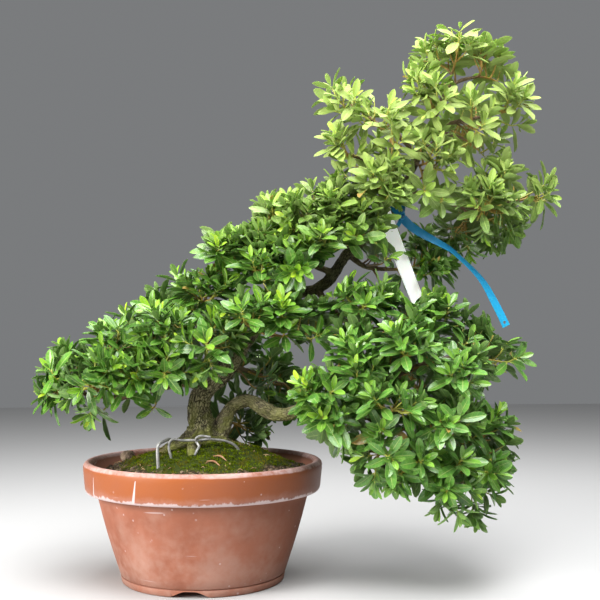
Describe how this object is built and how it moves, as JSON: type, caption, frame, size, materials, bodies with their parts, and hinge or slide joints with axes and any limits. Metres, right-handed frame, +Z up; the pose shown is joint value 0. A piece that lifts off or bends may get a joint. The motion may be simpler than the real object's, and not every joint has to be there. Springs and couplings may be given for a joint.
{
  "type": "potted azalea bonsai",
  "caption": "Slanting evergreen azalea bonsai with a bent trunk, a long low branch, leafy shoots and a mossy mound in a round terracotta pot.",
  "frame": {"origin": "middle of the whole plant's footprint, on the surface that the pot stands on", "axes": "+Z up along the pot's axis, +X to the right as seen from the tree's front, +Y away from the front"},
  "size_m": [0.6642, 0.3162, 0.706],
  "materials": {
    "terracotta": "matte",
    "mossy_soil": "matte",
    "drain_plastic": "matte",
    "bark": "matte",
    "bonsai_wire": "satin",
    "pressed_cake": "matte",
    "dry_leaf": "matte",
    "label_plastic": "satin",
    "band_plastic": "gloss",
    "azalea_leaf": "satin"
  },
  "bodies": {
    "root": {"pot": "terracotta", "drain_mesh": "drain_plastic", "soil": "mossy_soil", "trunk": "bark", "guy_wire": "bonsai_wire", "root_pin": "bonsai_wire", "fertiliser_pellet": "pressed_cake", "fallen_leaf_1": "dry_leaf", "fallen_leaf_2": "dry_leaf", "name_label": "label_plastic", "tie_band": "band_plastic", "spray_low_left_tip": "azalea_leaf", "spray_low_left_hang": "azalea_leaf", "spray_low_left_front": "azalea_leaf", "spray_low_left_inner": "azalea_leaf", "spray_left_end": "azalea_leaf", "spray_left_face": "azalea_leaf", "spray_left_near": "azalea_leaf", "spray_left_top_end": "azalea_leaf", "spray_left_top_face": "azalea_leaf", "spray_left_front": "azalea_leaf", "spray_left_back": "azalea_leaf", "spray_left_back_inner": "azalea_leaf", "spray_low_back": "azalea_leaf", "spray_base_back": "azalea_leaf", "spray_mid_end": "azalea_leaf", "spray_mid_top": "azalea_leaf", "spray_mid_face": "azalea_leaf", "spray_mid_up_end": "azalea_leaf", "spray_mid_up_face": "azalea_leaf", "spray_mid_up_near": "azalea_leaf", "spray_mid_up_back": "azalea_leaf", "spray_top_left_end": "azalea_leaf", "spray_top_left_face": "azalea_leaf", "spray_top_left2_end": "azalea_leaf", "spray_top_left2_face": "azalea_leaf", "spray_crown_left": "azalea_leaf", "spray_crown_right": "azalea_leaf", "spray_crown_face": "azalea_leaf", "spray_neck_face": "azalea_leaf", "spray_top_right2_end": "azalea_leaf", "spray_top_right2_face": "azalea_leaf", "spray_top_right_end": "azalea_leaf", "spray_top_right_face": "azalea_leaf", "spray_top_right_under": "azalea_leaf", "spray_top_back": "azalea_leaf", "spray_right_mid_end": "azalea_leaf", "spray_right_low_face": "azalea_leaf", "spray_right_low_end": "azalea_leaf", "spray_arch_front": "azalea_leaf", "spray_arch_right_near": "azalea_leaf", "spray_arch_right_face": "azalea_leaf", "spray_arch_right_outer": "azalea_leaf", "spray_arch_right_end": "azalea_leaf", "spray_arch_down_face": "azalea_leaf", "spray_arch_down_outer": "azalea_leaf", "spray_arch_down_under": "azalea_leaf", "spray_arch_down_end": "azalea_leaf", "spray_right_end": "azalea_leaf", "spray_right_back": "azalea_leaf"}
  },
  "joints": []
}
